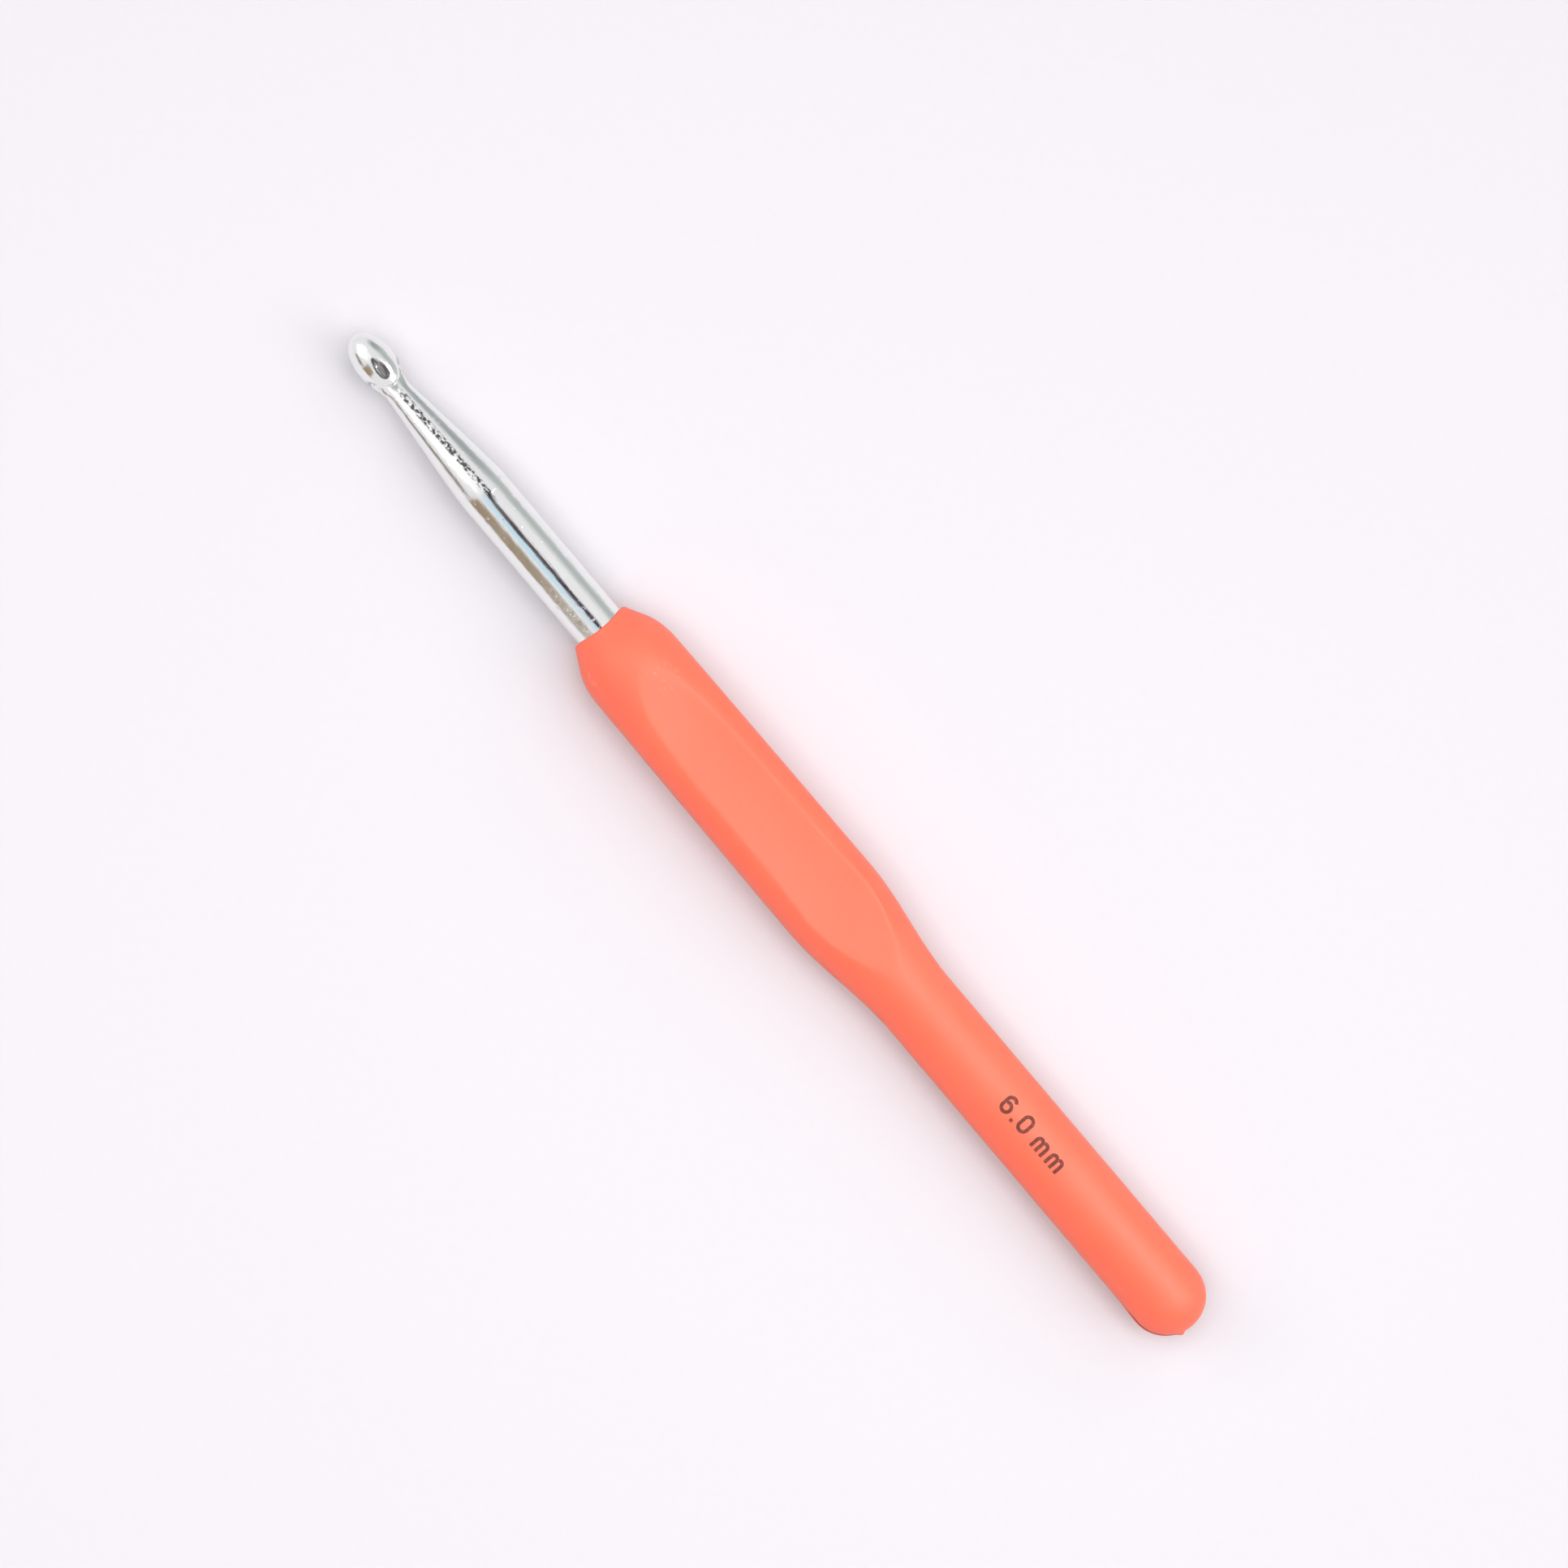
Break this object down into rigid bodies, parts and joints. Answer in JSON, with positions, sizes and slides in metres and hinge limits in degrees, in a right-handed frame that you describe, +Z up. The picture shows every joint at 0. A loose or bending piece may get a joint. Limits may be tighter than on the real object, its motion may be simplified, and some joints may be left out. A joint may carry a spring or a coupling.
{
  "type": "crochet hook",
  "caption": "Crochet hook with a polished metal head, throat, taper and shank, and a soft grip with an oval thumb rest and a slim tail.",
  "frame": {"origin": "in the plane that the hook lies on, under the middle of its length and on its centre line", "axes": "+X along the hook from the head to the butt, +Y across it, +Z up, the side that the throat and the thumb rest face"},
  "size_m": [0.145, 0.0118, 0.0103],
  "materials": {
    "metal": "polished, with fine drawing lines along the shank",
    "core": "moulded, natural colour, hidden",
    "grip": "coral elastomer, satin, slightly translucent",
    "ink": "thin dark brown print"
  },
  "bodies": {
    "root": {"hook_shaft": "metal", "grip_core": "core", "soft_grip": "grip", "size_mark": "ink"}
  },
  "joints": []
}
